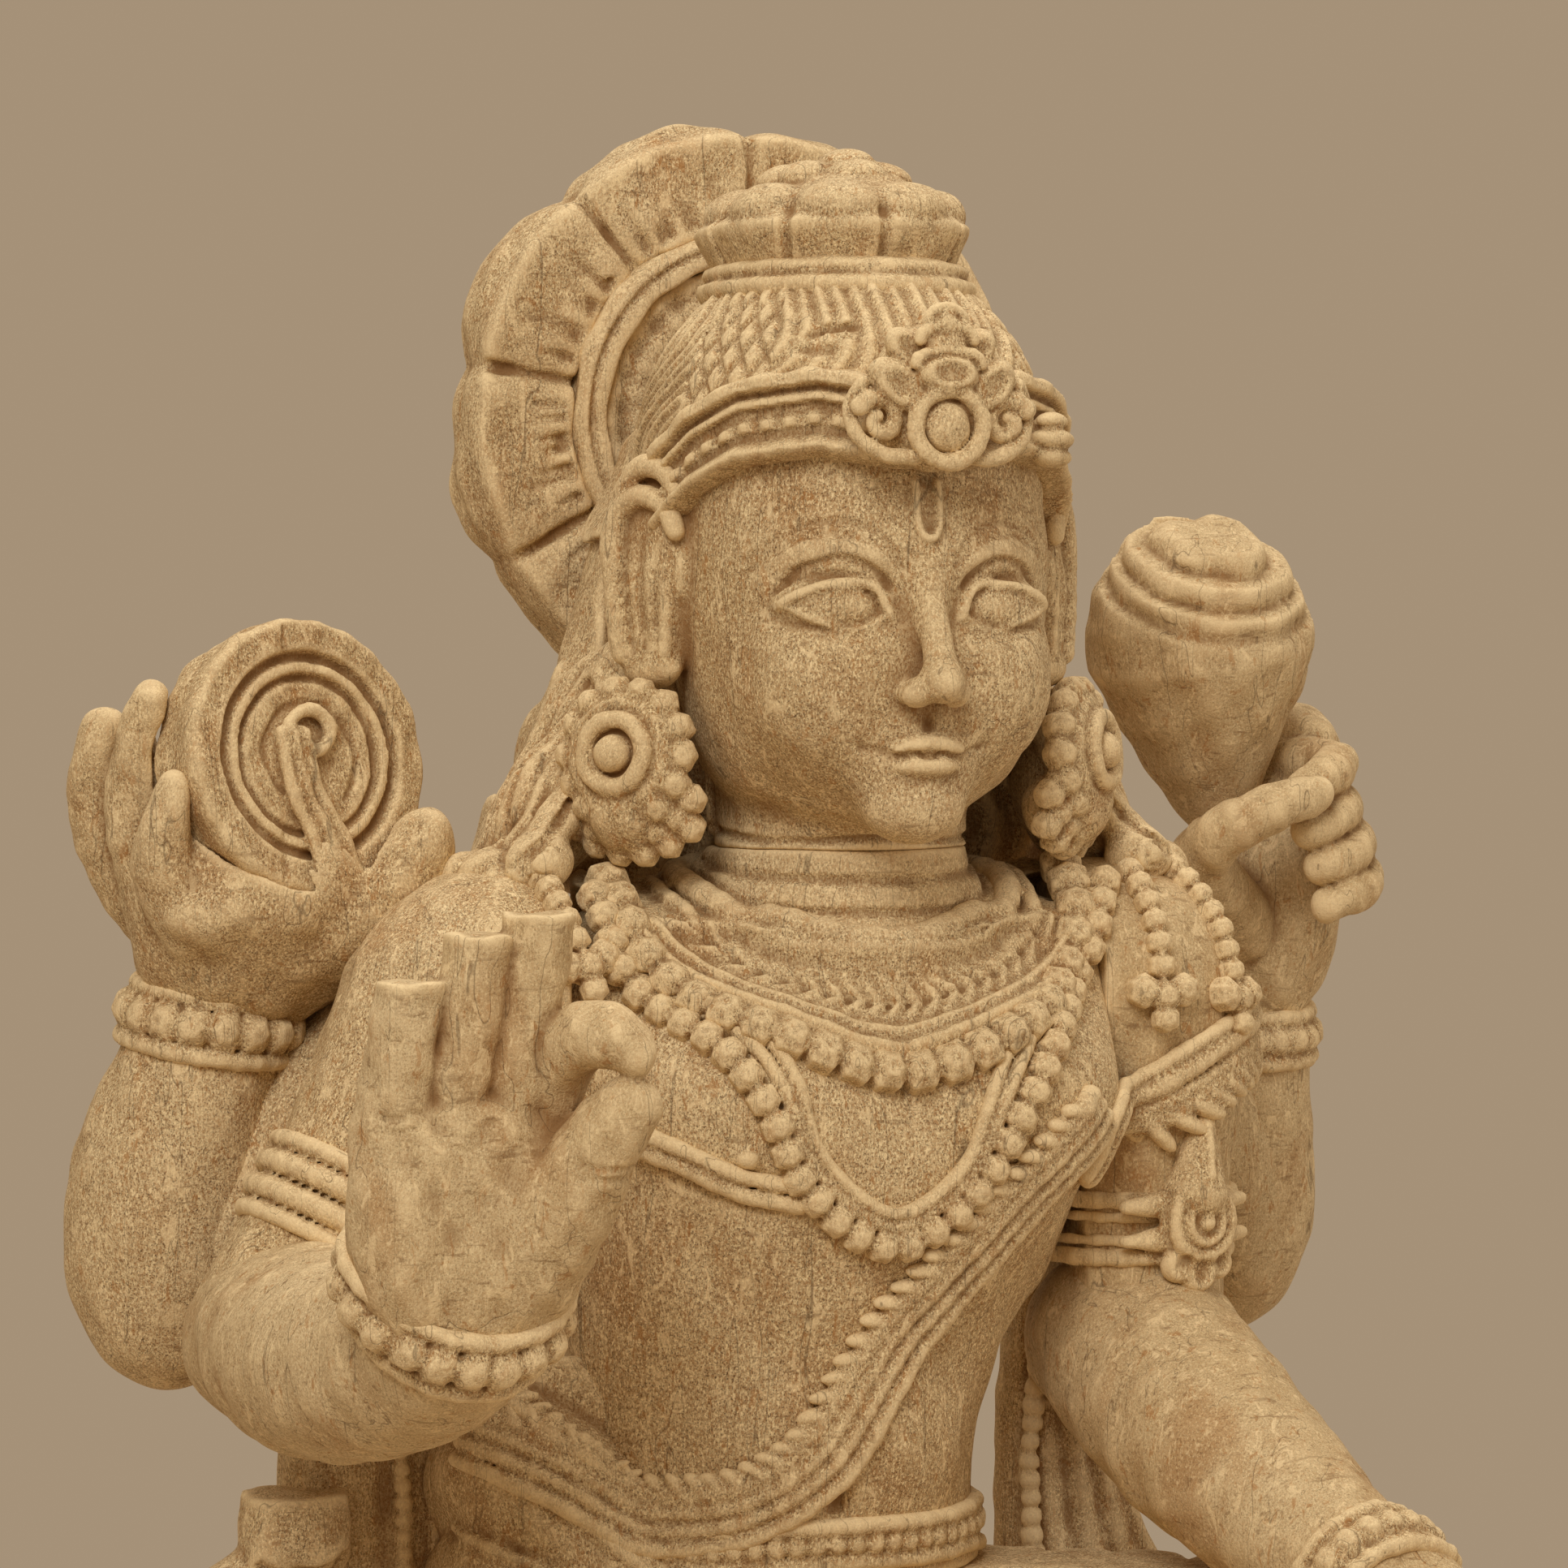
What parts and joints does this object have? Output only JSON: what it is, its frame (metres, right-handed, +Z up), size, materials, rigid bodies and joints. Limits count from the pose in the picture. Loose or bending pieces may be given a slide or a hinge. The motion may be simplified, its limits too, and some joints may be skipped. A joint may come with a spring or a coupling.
{
  "type": "hindu deity statue",
  "caption": "Seated four-armed deity figure carved in pale wood, holding discus and conch, with petalled halo, on a lotus seat and plinth.",
  "frame": {"origin": "centre of the plinth's underside", "axes": "+Z up, -Y towards the front of the figure, +X towards the figure's left"},
  "size_m": [0.3392, 0.2496, 0.4549],
  "materials": {
    "figure_wood": "pale straw-coloured carved wood, unvarnished, matt, with fine dark flecks and gouge marks",
    "base_wood": "the same pale wood, unvarnished and matt",
    "dowel_wood": "plain turned hardwood dowel, hidden"
  },
  "bodies": {
    "root": {"plinth": "base_wood", "plinth_step": "base_wood", "lotus_core": "base_wood", "lotus_petals_upper": "base_wood", "lotus_petals_lower": "base_wood", "legs": "figure_wood", "foot_left": "figure_wood", "torso": "figure_wood", "head": "figure_wood", "hair_back": "figure_wood", "hair_locks": "figure_wood", "bun": "figure_wood", "bun_ring": "figure_wood", "headband": "figure_wood", "crest_jewel": "figure_wood", "halo_disc": "figure_wood", "halo_ring": "figure_wood", "halo_petals": "figure_wood", "earring_right": "figure_wood", "earring_left": "figure_wood", "collar": "figure_wood", "bead_necklace": "figure_wood", "long_necklace": "figure_wood", "sacred_thread": "figure_wood", "chest_band": "figure_wood", "waist_belt": "figure_wood", "upper_arm_right": "figure_wood", "forearm_right": "figure_wood", "hand_right": "figure_wood", "upper_arm_left": "figure_wood", "forearm_left": "figure_wood", "hand_left": "figure_wood", "rear_arm_right": "figure_wood", "rear_forearm_right": "figure_wood", "rear_hand_right": "figure_wood", "rear_arm_left": "figure_wood", "rear_forearm_left": "figure_wood", "rear_hand_left": "figure_wood", "discus": "figure_wood", "conch": "figure_wood", "armlet_right": "figure_wood", "armlet_left": "figure_wood", "arm_sash_left": "figure_wood", "bracelet_right": "figure_wood", "bracelet_left": "figure_wood", "rear_bracelet_right": "figure_wood", "rear_bracelet_left": "figure_wood", "sash_right": "figure_wood", "scarf_left": "figure_wood", "sash_knot": "figure_wood", "hip_folds": "figure_wood", "halo_dowel": "dowel_wood", "neck_dowel": "dowel_wood", "waist_dowel": "dowel_wood", "shoulder_dowels": "dowel_wood", "discus_peg": "dowel_wood", "conch_peg": "dowel_wood", "seat_dowels": "dowel_wood"}
  },
  "joints": []
}
